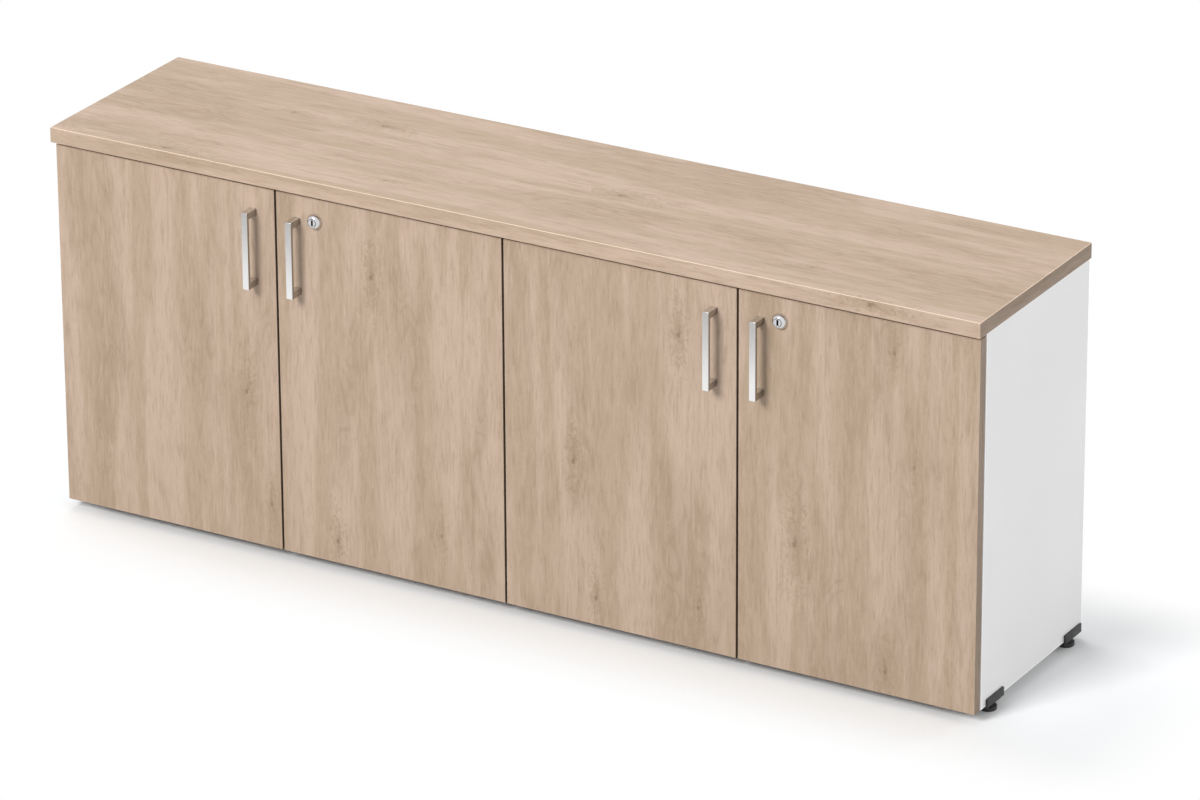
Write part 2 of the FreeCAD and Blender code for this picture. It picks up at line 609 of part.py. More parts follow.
# ---- doors ------------------------------------------------------------------------------------------------
def handle(x):
    """A square bow: two posts and a bar in one piece."""
    tip = FRONT - HANDLE_REACH
    behind = tip + HANDLE_BAR
    upper, lower = HANDLE_HIGH - HANDLE_POST, HANDLE_LOW + HANDLE_POST
    corners = [(FRONT, HANDLE_LOW), (tip, HANDLE_LOW), (tip, HANDLE_HIGH), (FRONT, HANDLE_HIGH),
               (FRONT, upper), (behind, upper), (behind, lower), (FRONT, lower)]
    return plate(corners, [0, 0.8, 0.8, 0, 0, 0, 0, 0], "yz", x - HANDLE_WIDE / 2, HANDLE_WIDE)


def door_board(x):
    board = box(x, x + DOOR_WIDE, FRONT, DOOR_BACK, DOOR_LOW, DOOR_HIGH)
    return board.makeFillet(DOOR_ROUND, picked(board, lambda at, way: at.y < FRONT + 0.1))


for number in (1, 2, 3, 4):
    hung_left = number in HINGE_EDGE
    twin = number if hung_left else 5 - number    # the left-hung door that this one mirrors
    door_x = -DOOR_END + (number - 1) * (DOOR_WIDE + DOOR_SEAM)
    grip_x = door_x + (DOOR_WIDE - HANDLE_INSET if hung_left else HANDLE_INSET)
    cups = at_hinges([hinge_cup()], HINGE_EDGE[twin])
    bores = at_hinges([cup_bore()], HINGE_EDGE[twin])
    if not hung_left:
        cups, bores = [mirrored(s) for s in cups], [mirrored(s) for s in bores]
    if number in LOCK_X:
        way = (LOCK_X[number], FRONT - 1, LOCK_Z)
        bores.append(flatted_rod(way, Y, LOCK_BARREL_R + 0.1, BOARD + 2, LOCK_SIDES))
    door = "door_" + str(number)
    save(door + "_panel", [without(door_board(door_x), bores)])
    save(door + "_handle", [handle(grip_x)])
    save(door + "_hinge_cups", cups)
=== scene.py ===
# %% [markdown]
# # An office credenza
# This lesson dresses a low office cupboard with four doors. The boards, hinges, locks and feet
# come as a fixed frame with moving bodies. Here they get their finishes. The pieces that need
# rounder or finer shapes than the frame has are modelled again: handles, lock roses and feet. The
# screws are new, and so are the key slots' wards and thin frames, dark pieces of painted shade.
# Everything is in metres, +X to the right, +Y to the back, +Z up, with the floor at z = 0.

# %% Load the frame
import bmesh
import bpy
import json
import math
from mathutils import Matrix, Vector


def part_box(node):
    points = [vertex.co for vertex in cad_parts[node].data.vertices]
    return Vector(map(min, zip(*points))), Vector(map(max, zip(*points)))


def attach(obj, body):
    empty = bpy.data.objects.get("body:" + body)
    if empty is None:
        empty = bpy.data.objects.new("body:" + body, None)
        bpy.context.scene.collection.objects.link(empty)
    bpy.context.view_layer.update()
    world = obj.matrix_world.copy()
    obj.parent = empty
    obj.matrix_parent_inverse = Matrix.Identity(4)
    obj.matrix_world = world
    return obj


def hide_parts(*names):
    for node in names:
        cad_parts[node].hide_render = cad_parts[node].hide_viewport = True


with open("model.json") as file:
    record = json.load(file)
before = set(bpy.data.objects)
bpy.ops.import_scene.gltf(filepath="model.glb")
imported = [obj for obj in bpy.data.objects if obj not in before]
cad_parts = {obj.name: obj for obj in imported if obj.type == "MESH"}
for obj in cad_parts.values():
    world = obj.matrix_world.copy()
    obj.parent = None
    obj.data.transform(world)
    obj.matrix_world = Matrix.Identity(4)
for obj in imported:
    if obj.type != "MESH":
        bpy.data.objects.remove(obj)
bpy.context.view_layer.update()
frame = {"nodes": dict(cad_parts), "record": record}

# %% [markdown]
# ## The view
# A catalogue view looks down on the cupboard from the right of the front, through a very long
# lens, so its upright edges stay nearly parallel. A camera looks along its own -Z, so it is turned
# with to_track_quat towards a point on the doors. A last small turn about its own axis levels the
# image.

# %% Camera
EYE = Vector((5.6356, -9.5286, 5.0421))
LOOKED_AT = Vector((0.1872, -0.1800, 0.4333))
LENS_MM, SENSOR_MM = 211.6, 36.0
ROLL = math.radians(-0.306)
FARTHEST = 100.0

camera_data = bpy.data.cameras.new("camera")
camera_data.lens = LENS_MM
camera_data.sensor_width = SENSOR_MM
camera_data.clip_end = FARTHEST
camera = bpy.data.objects.new("camera", camera_data)
bpy.context.collection.objects.link(camera)
camera.location = EYE
camera.rotation_mode = "QUATERNION"
facing = (LOOKED_AT - EYE).to_track_quat("-Z", "Y").to_matrix()
camera.rotation_quaternion = (facing @ Matrix.Rotation(ROLL, 3, "Z")).to_quaternion()
bpy.context.scene.camera = camera
bpy.context.scene.view_settings.view_transform = "Standard"
print("camera", round((LOOKED_AT - EYE).length, 2), "m from the doors")

# %% [markdown]
# ## Nodes without clutter
# A procedural material is a small graph, and each node takes numbers or other nodes' outputs. One
# helper adds a node and fills its sockets, so that each finish below reads as a short recipe. The
# noise helper takes the size of its spots in millimetres: across the grain, through the board and
# along the grain. Long thin spots are what turns plain noise into fibres and streaks.

# %% Helpers for materials
MM = 0.001
NOISE_SPAN = (0.3, 0.7)                           # where most of the noise's values lie


def add(tree, kind, sockets=None, **settings):
    """A new node. Sockets are given by name or number; a value may be another node's output."""
    node = tree.nodes.new("ShaderNode" + kind)
    for key, value in settings.items():
        setattr(node, key, value)
    for key, value in (sockets or {}).items():
        if isinstance(value, bpy.types.NodeSocket):
            tree.links.new(value, node.inputs[key])
        else:
            node.inputs[key].default_value = value
    return node


def sums(tree, operation, a, b=0.0):
    """One step of arithmetic on one or two values."""
    return add(tree, "Math", {0: a, 1: b}, operation=operation).outputs[0]


def spots(tree, place, size_mm, seed, detail=2.0, rough=0.5, bend=0.0):
    """Noise whose spots have this size; the seed moves to another part of the same noise."""
    scale = [1.0 / (MM * size) for size in size_mm]
    shifted = add(tree, "Mapping", {"Vector": place, "Location": (seed, 2.3 * seed, -1.7 * seed),
                                    "Scale": scale})
    noise = add(tree, "TexNoise", {"Vector": shifted.outputs[0], "Scale": 1.0, "Detail": detail,
                                   "Roughness": rough, "Distortion": bend})
    return noise.outputs[0]


def between(tree, value, low, high, to_low=0.0, to_high=1.0):
    """Fades from to_low to to_high while the value goes from low to high."""
    return add(tree, "MapRange", {0: value, 1: low, 2: high, 3: to_low, 4: to_high},
               interpolation_type="SMOOTHSTEP").outputs[0]


def spread(tree, noise, to_low=0.0, to_high=1.0):
    """Stretches the span in which most of the noise lies."""
    return between(tree, noise, *NOISE_SPAN, to_low, to_high)


def chosen(tree, test, otherwise, value):
    """The value where the test is one, and the other one where it is nought."""
    return add(tree, "Mix", {0: test, 2: otherwise, 3: value}, data_type="FLOAT").outputs[0]


def blended(tree, under, over, amount, how="MIX"):
    """One colour laid over another by an amount from nought to one."""
    mix = add(tree, "Mix", {0: amount, 6: under, 7: over}, data_type="RGBA", blend_type=how)
    return mix.outputs[2]


def bumped(tree, height, deep_mm):
    """A normal that makes the height look this deep."""
    bump = add(tree, "Bump", {"Height": height, "Strength": 1.0, "Distance": deep_mm * MM})
    return bump.outputs[0]


def finish(name, **fixed):
    """A material with its shader and the object's own coordinates; fixed values go on sockets."""
    material = bpy.data.materials.new(name)
    material.use_nodes = True
    tree = material.node_tree
    shader = tree.nodes["Principled BSDF"]
    for key, value in fixed.items():
        shader.inputs[key.replace("_", " ")].default_value = value
    place = add(tree, "TexCoord").outputs["Object"]
    return material, tree, shader, place


def wire(tree, shader, colour, rough, normal):
    """Links the three results of a recipe to the shader."""
    for key, value in (("Base Color", colour), ("Roughness", rough), ("Normal", normal)):
        tree.links.new(value, shader.inputs[key])


# %% [markdown]
# ## Oak laminate
# The doors and the top are chipboard under a printed oak paper. Pale oak shows soft bands a few
# centimetres wide, pinkish and tan, and duller zones with a fine wavy figure. Over them lie short
# brown dashes, thin fibres, dark pores, pale flecks and now and then a small knot. Each is one
# stretched noise laid over the last. The figure is made of contour lines: a smooth field is
# multiplied and put through a sine, which draws a line wherever the field has the same height, as
# growth rings do. A knot lifts the field around it, so the lines bend round it as in a real board.

# %% Oak colours
TAN = (0.480, 0.360, 0.258, 1)
PINKISH = (0.560, 0.424, 0.325, 1)
DULL = (0.420, 0.308, 0.216, 1)
RING_BROWN = (0.330, 0.224, 0.146, 1)
PORE_BROWN = (0.200, 0.125, 0.078, 1)
FLECK = (0.690, 0.560, 0.450, 1)
ARRIS_PAINTED_HIGHLIGHT = (0.860, 0.670, 0.525, 1)                   # painted highlight on a rounded arris

# %% [markdown]
# How far each layer covers the ones under it decides whether the board looks calm or rustic. Most
# of these numbers are such shares, from nought to one.

# %% Oak shares
ZONES_DULL, ZONES_RINGED = 0.62, 0.26
KNOTS_DULL, KNOTS_RINGED, KNOTS_DARK = 0.85, 0.30, 0.70
PORES_DARK, FLECKS_PALE = 0.30, 0.30
RING_LINES, KNOT_BEND = 62.0, 9.0                 # lines of the figure, and how knots shift them
FIBRES_RAISED, PORES_SUNK, RELIEF_MM = 0.4, 0.6, 0.06
ARRIS_GLOSS = 0.30
END_PAINTED_SHADE = 0.50                                 # painted shade on the ends and on the sides of the seams
ENDWISE = 0.7                                     # a face that looks along the grain this much

# %% [markdown]
# A knot sits at the middle of some of the cells of a Voronoi pattern. The distance to that middle
# is measured twice: in a small ellipse for the dark core and in a long one for the shade around
# it. The cell's random colour decides whether its knot is there, and how small it is.

# %% Knots
KNOT_ROOM = (0.210, 0.270)                        # a knot at most in each such oblong
KNOT_CORE, KNOT_SHADE = (0.0048, 0.0110), (0.022, 0.095)
KNOTLESS = 0.46                                   # the share of the cells that stay empty
KNOT_SHRINKS = (0.70, 2.2)


def ellipse(tree, offset, size, shrink):
    """One in the middle of a ragged ellipse and nought outside it; shrink makes it smaller."""
    scale = (KNOT_ROOM[0] / size[0], KNOT_ROOM[1] / size[1], 0.0)
    scaled = add(tree, "VectorMath", {0: offset, 1: scale}, operation="MULTIPLY").outputs[0]
    away = add(tree, "VectorMath", {0: scaled}, operation="LENGTH").outputs["Value"]
    ragged = between(tree, spots(tree, offset, (30, 30, 30), 1.0, 1), 0.35, 0.65, 0.7, 1.6)
    away = sums(tree, "MULTIPLY", away, shrink)
    return between(tree, sums(tree, "MULTIPLY", away, ragged), 1.0, 0.0)


def knots(tree, across, along, seed):
    """The dark cores and the long shades of the knots."""
    flat = add(tree, "CombineXYZ", {0: across, 1: along}).outputs[0]
    room = add(tree, "Mapping", {"Vector": flat, "Location": (seed, 0.7 * seed, 0),
                                 "Scale": (1 / KNOT_ROOM[0], 1 / KNOT_ROOM[1], 1)}).outputs[0]
    cell = add(tree, "TexVoronoi", {"Vector": room, "Scale": 1.0}, voronoi_dimensions="2D")
    middle = cell.outputs["Position"]
    offset = add(tree, "VectorMath", {0: room, 1: middle}, operation="SUBTRACT").outputs[0]
    chances = add(tree, "SeparateColor", {0: cell.outputs["Color"]}).outputs
    there = sums(tree, "GREATER_THAN", chances[0], KNOTLESS)
    shrink = between(tree, chances[1], 0.0, 1.0, *KNOT_SHRINKS)
    return [sums(tree, "MULTIPLY", ellipse(tree, offset, size, shrink), there)
            for size in (KNOT_CORE, KNOT_SHADE)]


# %% [markdown]
# Now the layers are stacked, the broadest first. The last ones look at the surface's own
# direction: the ends get painted shade, darker than the faces, and a rounded arris gets a
# painted highlight, a little paler.


# %% Oak
def veiled(tree, colour, veil, noise, bare, full, most=1.0):
    """Lays a veil over a colour where the noise goes from bare to full, and at most this much."""
    return blended(tree, colour, veil, between(tree, noise, bare, full, 0.0, most))


def oak(name, order, seed, lift, arris_highlight):
    """Order gives the object's axes across the grain, through the board and along the grain. Lift
    is how bright the print is, and the last number how strongly the rounded arrises are painted
    pale as a highlight."""
    material, tree, shader, place = finish(name, Specular_IOR_Level=0.35)
    axes = add(tree, "SeparateXYZ", {0: place}).outputs
    across, deep, along = [axes[axis] for axis in order]
    normal = add(tree, "TexCoord").outputs["Normal"]
    facing = add(tree, "VectorMath", {0: normal}, operation="ABSOLUTE").outputs[0]
    sides = add(tree, "SeparateXYZ", {0: facing}).outputs
    on_end = sums(tree, "GREATER_THAN", sides[order[2]], ENDWISE)
    wrapped = chosen(tree, on_end, sums(tree, "ADD", across, deep), deep)
    along = chosen(tree, on_end, along, across)
    grain = add(tree, "CombineXYZ", {0: wrapped, 2: along}).outputs[0]
    core, shade = knots(tree, wrapped, along, seed)

    bands = spots(tree, grain, (52, 400, 800), seed, 2, 0.5, 0.3)
    colour = veiled(tree, TAN, PINKISH, bands, 0.42, 0.58)
    zones = between(tree, spots(tree, grain, (85, 500, 480), seed + 4, 2, 0.55, 0.4), 0.47, 0.68)
    colour = blended(tree, colour, DULL, sums(tree, "MULTIPLY", zones, ZONES_DULL))
    clouds = spots(tree, grain, (17, 100, 80), seed + 6, 2, 0.55, 0.5)
    colour = veiled(tree, colour, RING_BROWN, clouds, 0.50, 0.75, 0.20)
    colour = veiled(tree, colour, PINKISH, clouds, 0.48, 0.25, 0.45)
    colour = blended(tree, colour, DULL, sums(tree, "MULTIPLY", shade, KNOTS_DULL))

    field = spots(tree, grain, (44, 300, 190), seed + 9, 1.0, 0.4, 0.4)
    waves = sums(tree, "ADD", sums(tree, "MULTIPLY", field, RING_LINES),
                 sums(tree, "MULTIPLY", shade, KNOT_BEND))
    rings = between(tree, sums(tree, "SINE", waves), 0.1, 1.0)
    ringed = sums(tree, "ADD", sums(tree, "MULTIPLY", zones, ZONES_RINGED),
                  sums(tree, "MULTIPLY", shade, KNOTS_RINGED))
    colour = blended(tree, colour, RING_BROWN, sums(tree, "MULTIPLY", rings, ringed))

    dashes = spots(tree, grain, (4.5, 30, 45), seed + 13, 2, 0.55, 0.4)
    colour = veiled(tree, colour, RING_BROWN, dashes, 0.48, 0.72, 0.32)
    colour = veiled(tree, colour, FLECK, dashes, 0.46, 0.28, 0.16)
    fibres = spots(tree, grain, (1.6, 14, 34), seed + 17, 3, 0.65)
    colour = veiled(tree, colour, RING_BROWN, fibres, 0.50, 0.74, 0.12)
    colour = veiled(tree, colour, FLECK, fibres, 0.48, 0.26, 0.09)
    pores = between(tree, spots(tree, grain, (0.8, 8, 10), seed + 25, 1), 0.62, 0.76)
    colour = blended(tree, colour, PORE_BROWN, sums(tree, "MULTIPLY", pores, PORES_DARK))
    flecks = between(tree, spots(tree, grain, (1.4, 8, 9), seed + 28, 1), 0.66, 0.80)
    colour = blended(tree, colour, FLECK, sums(tree, "MULTIPLY", flecks, FLECKS_PALE))
    colour = blended(tree, colour, PORE_BROWN, sums(tree, "MULTIPLY", core, KNOTS_DARK))

    flattest = sums(tree, "MAXIMUM", sides[0], sums(tree, "MAXIMUM", sides[1], sides[2]))
    arris = between(tree, flattest, 0.99, 0.85)
    # painted shade: faces that look along x, the ends and the sides of the seams, are darkened
    tone = between(tree, sides[0], 0.80, 0.97, lift, lift * END_PAINTED_SHADE)
    level = add(tree, "CombineColor", {0: tone, 1: tone, 2: tone}).outputs[0]
    colour = blended(tree, colour, level, 1.0, "MULTIPLY")
    # painted highlight: the rounded arrises are painted pale
    colour = blended(tree, colour, ARRIS_PAINTED_HIGHLIGHT, sums(tree, "MULTIPLY", arris, arris_highlight))

    relief = sums(tree, "SUBTRACT", sums(tree, "MULTIPLY", fibres, FIBRES_RAISED),
                  sums(tree, "MULTIPLY", pores, PORES_SUNK))
    rough = sums(tree, "SUBTRACT", between(tree, fibres, 0.2, 0.8, 0.44, 0.56),
                 sums(tree, "MULTIPLY", arris, ARRIS_GLOSS))
    wire(tree, shader, colour, rough, bumped(tree, relief, RELIEF_MM))
    print(name, "has", len(tree.nodes), "nodes")
    return material


door_oak = oak("oak doors", (0, 1, 2), 3.0, 0.99, 0.08)
top_oak = oak("oak top", (1, 2, 0), 8.0, 1.02, 0.92)

# %% [markdown]
# ## White melamine
# The carcass boards are white melamine. It isn't perfectly smooth: a fine pebble texture from the
# press plate breaks up the shine, and the tone drifts a little over a board. Along the front and
# along the feet the chipboard's edge is closed with a plastic band two millimetres thick,
# glossier than the face. Its colour is much whiter than the face: partly the band's own white and
# partly a painted highlight, so it shows as a bright line. The band is found by its place.

# %% White boards
BAND_MM = 2.2
CARCASS_FRONT, CARCASS_FOOT = -0.1585, 0.018
DIMMER_WHITE, BRIGHTER_WHITE = (0.755, 0.755, 0.758, 1), (0.785, 0.785, 0.792, 1)
# the band's own white, lifted further as a painted highlight
BAND_WHITE_AND_HIGHLIGHT, BAND_GLOSS = (0.95, 0.95, 0.95, 1), 0.15

white_board, tree, shader, place = finish("white melamine", Specular_IOR_Level=0.4)
drift = spots(tree, place, (300, 300, 300), 1.0, 2)
pebble = spots(tree, place, (0.9, 0.9, 0.9), 2.0, 2, 0.6)
tone = blended(tree, DIMMER_WHITE, BRIGHTER_WHITE, spread(tree, drift))
axes = add(tree, "SeparateXYZ", {0: place}).outputs
at_front = sums(tree, "LESS_THAN", axes[1], CARCASS_FRONT + BAND_MM * MM)
at_foot = sums(tree, "LESS_THAN", axes[2], CARCASS_FOOT + BAND_MM * MM)
banded = sums(tree, "MAXIMUM", at_front, at_foot)
# the whiter band is partly a painted highlight
tone = blended(tree, tone, BAND_WHITE_AND_HIGHLIGHT, banded)
rough = sums(tree, "SUBTRACT", spread(tree, pebble, 0.40, 0.52),
             sums(tree, "MULTIPLY", banded, BAND_GLOSS))
wire(tree, shader, tone, rough, bumped(tree, pebble, 0.03))
print("white melamine has", len(tree.nodes), "nodes")

# %% [markdown]
# ## Metals
# Satin steel is brushed along the bar, so its scratches are noise that is long in z and very thin
# across. Chrome is nearly a mirror. Nickel and zinc platings on pressed parts are duller and
# uneven. One recipe makes all four: the colour, how rough it is at least and at most, and the
# scratch size. The bars of the handles also get a painted reflection: their front faces are
# painted paler towards the foot, as if they mirrored the floor, and their tops paler as a
# painted sheen, while their sides stay darker.

# %% Metals
HAZE_MM = (60, 60, 110)
PAINTED_REFLECTION_HIGH, PAINTED_REFLECTION_LOW = (0.665, 0.22), (0.500, 1.0)       # height, and how bright the painted reflection is there
TOPS_PAINTED_SHEEN = 0.55


def metal(name, pale, dark, rough, size_mm, deep_mm, seed, painted_reflection=None):
    """The last argument, where it is given, says how far a place is painted bright as a reflection.
    """
    material, tree, shader, place = finish(name, Metallic=1.0)
    scratches = spots(tree, place, size_mm, seed, 3, 0.6)
    haze = spots(tree, place, HAZE_MM, seed + 3, 2)
    mixed = sums(tree, "ADD", sums(tree, "MULTIPLY", scratches, 0.5),
                 sums(tree, "MULTIPLY", haze, 0.5))
    if painted_reflection:
        bright = sums(tree, "MULTIPLY", painted_reflection(tree, place), spread(tree, mixed, 0.85, 1.0))
    else:
        bright = spread(tree, mixed)
    wire(tree, shader, blended(tree, dark, pale, bright), spread(tree, mixed, rough[1], rough[0]),
         bumped(tree, scratches, deep_mm))
    print(name, "has", len(tree.nodes), "nodes")
    return material


def painted_bar_reflection(tree, place):
    """Painted reflection: the bars' front faces are painted paler, most at the foot; the tops are
    painted paler as a sheen, the sides hardly.
    """
    axes = add(tree, "SeparateXYZ", {0: place}).outputs
    facing = add(tree, "SeparateXYZ", {0: add(tree, "TexCoord").outputs["Normal"]}).outputs
    (high, least), (low, most) = PAINTED_REFLECTION_HIGH, PAINTED_REFLECTION_LOW
    face = sums(tree, "MULTIPLY", between(tree, facing[1], -0.3, -0.9),
                between(tree, axes[2], high, low, least, most))
    return sums(tree, "MAXIMUM", face, between(tree, facing[2], 0.3, 0.9, 0.0, TOPS_PAINTED_SHEEN))


# the handles' steel carries a painted reflection and a painted sheen
satin_steel = metal("satin steel", (0.90, 0.90, 0.90, 1), (0.40, 0.38, 0.36, 1), (0.20, 0.32),
                    (0.25, 0.25, 25), 0.006, 5.0, painted_bar_reflection)
chrome = metal("chrome", (0.72, 0.72, 0.73, 1), (0.60, 0.60, 0.61, 1), (0.04, 0.10),
               (3, 3, 3), 0.002, 6.0)
nickel = metal("nickel plate", (0.66, 0.64, 0.61, 1), (0.54, 0.52, 0.49, 1), (0.20, 0.38),
               (0.6, 0.6, 0.6), 0.01, 7.0)
zinc = metal("zinc plate", (0.62, 0.64, 0.67, 1), (0.50, 0.51, 0.53, 1), (0.26, 0.42),
             (0.5, 0.5, 0.5), 0.01, 8.0)

# %% [markdown]
# ## Plastic and rubber
# The feet are moulded in black plastic with a fine spark-eroded grain, a little greyer where hands
# and shoes have rubbed it. The door buffers are soft, clear drops that let some light through. The
# key slot's wards and frame are painted nearly black, as painted shade inside the slot. These last
# two follow one fine noise each.

# %% Plastic and rubber
BLACK, RUBBED_BLACK = (0.022, 0.022, 0.023, 1), (0.045, 0.045, 0.046, 1)


def mottled(name, size_mm, seed, detail, dark, pale, rough, **fixed):
    """A finish whose tone, roughness and relief all follow one noise."""
    material, tree, shader, place = finish(name, **fixed)
    noise = spots(tree, place, (size_mm, size_mm, size_mm), seed, detail)
    tone = blended(tree, dark, pale, noise)
    wire(tree, shader, tone, spread(tree, noise, *rough), bumped(tree, noise, 0.02))
    return material


black_plastic, tree, shader, place = finish("black plastic", Specular_IOR_Level=0.45)
spark = spots(tree, place, (0.35, 0.35, 0.35), 3.0, 2, 0.6)
rubbed = spots(tree, place, (12, 12, 12), 4.0, 4, 0.6)
tone = veiled(tree, BLACK, RUBBED_BLACK, rubbed, 0.45, 0.75)
wire(tree, shader, tone, spread(tree, spark, 0.42, 0.58), bumped(tree, spark, 0.03))

clear_rubber = mottled("clear rubber", 2, 5.0, 2, (0.74, 0.74, 0.70, 1), (0.84, 0.84, 0.81, 1),
                       (0.25, 0.40), Transmission_Weight=0.45, IOR=1.45)
# painted shade: nearly black for the frame and the wards in the key slot
key_slot_painted_shade = mottled("key slot painted shade", 0.8, 6.0, 3, (0.012, 0.011, 0.010, 1),
                      (0.040, 0.036, 0.032, 1), (0.35, 0.60), Metallic=0.6)
print("plastic, rubber and recess are ready")

# %% [markdown]
# ## Finishes on the solids of the frame
# Each solid of the frame names the finish it is meant to have, so a loop hands them out. The top
# has its own oak, because its grain runs along the cupboard instead of up it.

# %% Dress the frame
FINISHES = {"oak_board": door_oak, "white_board": white_board, "satin_steel": satin_steel,
            "chrome": chrome, "nickel": nickel, "zinc": zinc, "black_plastic": black_plastic,
            "clear_rubber": clear_rubber}

for row in frame["record"]["subparts"]:
    material = top_oak if row["node"] == "top_panel" else FINISHES[row["material_slot"]]
    for slot in frame["nodes"][row["node"]].material_slots:
        slot.material = material

# %% [markdown]
# ## Helpers for shapes
# New pieces are made in bmesh from a simple start and a few operators. Each helper below does one
# step: an extruded outline, a spun profile, an eased edge. The last one turns the finished bmesh
# into an object, shades it smooth up to a sharp angle, gives it a finish and lets it ride on a
# body.


# %% Helpers for shapes
def outline(shape, points):
    """One flat face through the points."""
    return shape.faces.new([shape.verts.new(point) for point in points])


def extruded(shape, faces, way, keep=True):
    """Pulls faces along a vector; where they are kept, they close the block they leave behind."""
    made = bmesh.ops.extrude_face_region(shape, geom=faces, use_keep_orig=keep)
    moved = [part for part in made["geom"] if isinstance(part, bmesh.types.BMVert)]
    bmesh.ops.translate(shape, verts=moved, vec=way)
    bmesh.ops.recalc_face_normals(shape, faces=shape.faces[:])
    return moved


def eased(shape, width_mm, segments=2, sharper=30.0):
    """Rounds the edges whose faces meet at more than an angle."""
    limit = math.radians(sharper)
    edges = [e for e in shape.edges if len(e.link_faces) == 2 and e.calc_face_angle() > limit]
    bmesh.ops.bevel(shape, geom=edges, offset=width_mm * MM, affect="EDGES", segments=segments,
                    profile=0.5, material=-1, clamp_overlap=True)


def spun(shape, profile_mm, steps):
    """Turns a profile of (radius, height) points about z."""
    verts = [shape.verts.new((r * MM, 0, h * MM)) for r, h in profile_mm]
    edges = [shape.edges.new(pair) for pair in zip(verts, verts[1:])]
    bmesh.ops.spin(shape, geom=verts + edges, cent=(0, 0, 0), axis=(0, 0, 1), angle=2 * math.pi,
                   steps=steps, use_merge=True, use_duplicate=False)
    bmesh.ops.remove_doubles(shape, verts=shape.verts[:], dist=0.001 * MM)
    bmesh.ops.recalc_face_normals(shape, faces=shape.faces[:])


def placed(shape, at, along=(0, 0, 1)):
    """Turns a bmesh's z to the way it should face and moves it to its place."""
    turn = Vector((0, 0, 1)).rotation_difference(Vector(along)).to_matrix().to_4x4()
    bmesh.ops.transform(shape, matrix=Matrix.Translation(at) @ turn, verts=shape.verts[:])
    return shape


def joined(shapes):
    """Several bmeshes in one."""
    whole = bmesh.new()
    for shape in shapes:
        part = bpy.data.meshes.new("part")
        shape.to_mesh(part)
        whole.from_mesh(part)
        bpy.data.meshes.remove(part)
        shape.free()
    return whole


def piece(name, shape, body, material, stands_for=(), sharp=40.0):
    """Makes a bmesh an object that rides on a body and stands for some of the frame's nodes."""
    mesh = bpy.data.meshes.new(name)
    shape.to_mesh(mesh)
    shape.free()
    mesh.materials.append(material)
    mesh.shade_smooth()
    mesh.set_sharp_from_angle(angle=math.radians(sharp))
    item = bpy.data.objects.new(name, mesh)
    bpy.context.collection.objects.link(item)
    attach(item, body)
    if stands_for:
        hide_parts(*stands_for)
    print(name, len(mesh.polygons), "faces, rides on", body)


# %% [markdown]
# ## Bow handles
# Each handle is a square steel bow, two posts and a bar. It could be a bent pipe, but its corners
# are crisp, so it is the outline of a bow seen from the side, extruded to the handle's width. All
# its edges are eased a little, and these small roundings catch the bright lines that steel shows.

# %% Handles
BAR = 0.006                # bar, front to back
POST = 0.012               # posts, bottom to top
BOW_EASE_MM = 0.6

for number in (1, 2, 3, 4):
    node = "door_{}_handle".format(number)
    low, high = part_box(node)
    bow = bmesh.new()
    upper, lower, behind = high.z - POST, low.z + POST, low.y + BAR
    corners = [(high.y, low.z), (low.y, low.z), (low.y, high.z), (high.y, high.z), (high.y, upper),
               (behind, upper), (behind, lower), (high.y, lower)]
    side = outline(bow, [(low.x, y, z) for y, z in corners])
    extruded(bow, [side], (high.x - low.x, 0, 0))
    eased(bow, BOW_EASE_MM, 3)
    piece("bow_handle_{}".format(number), bow, "door_{}".format(number),
          satin_steel, [node])

# %% [markdown]
# ## Lock roses
# A cam lock shows a domed chrome rose with the plug in its middle. Rose and barrel are one turned
# piece, so its half section is drawn once and spun about the axis. In the frame it is drawn with
# flats; here the dome needs a smooth curve, because chrome shows every facet. The key slot gets
# three small wards, the ridges that the grooves of its key slide past, and a thin frame just in
# front of the plug. Both are nearly black, as painted shade that makes the slot look deep and
# wider.

# %% Lock roses
ROSE = [(9.5, -26.0), (9.5, 0.0), (13.0, 0.0), (13.0, 0.6), (14.0, 0.8), (14.0, 1.5), (13.2, 3.0),
        (12.6, 4.6), (11.6, 6.2), (10.4, 7.5), (9.2, 8.4), (8.8, 8.6), (8.5, 9.0), (7.6, 9.0),
        (7.0, 8.3), (6.55, 7.2), (6.55, -26.0), (9.5, -26.0)]
ROSE_HIGH_MM = 9.0
SLOT_HALF_MM = (1.9, 5.0)                         # the frame's outside, across and up
SLOT_BORDER_MM, SLOT_THICK_MM, SLOT_PROUD_MM = 1.05, 0.35, 0.1
WARD_MM = (0.8, 9.0, 1.2)
WARDS_MM = ((-0.8, 2.6), (0.8, -0.6), (-0.8, -3.4))           # across and up from the axis
WARD_DEEP_MM = 7.5


def slot_frame(at):
    """A thin frame round the key slot, for painted shade that makes the slot look wider."""
    plate = bmesh.new()
    wide, high = [half * MM for half in SLOT_HALF_MM]
    corners = [(a * wide, 0, b * high) for a, b in ((-1, -1), (1, -1), (1, 1), (-1, 1))]
    face = outline(plate, corners)
    plate.normal_update()
    bmesh.ops.inset_region(plate, faces=[face], thickness=SLOT_BORDER_MM * MM, use_boundary=True)
    bmesh.ops.delete(plate, geom=[face], context="FACES")
    bmesh.ops.solidify(plate, geom=plate.faces[:], thickness=SLOT_THICK_MM * MM)
    return placed(plate, at)


def key_ward(at):
    """A small block with eased edges."""
    ward = bmesh.new()
    bmesh.ops.create_cube(ward, size=1.0)
    bmesh.ops.scale(ward, vec=[size * MM for size in WARD_MM], verts=ward.verts[:])
    eased(ward, 0.2, 1)
    return placed(ward, at)


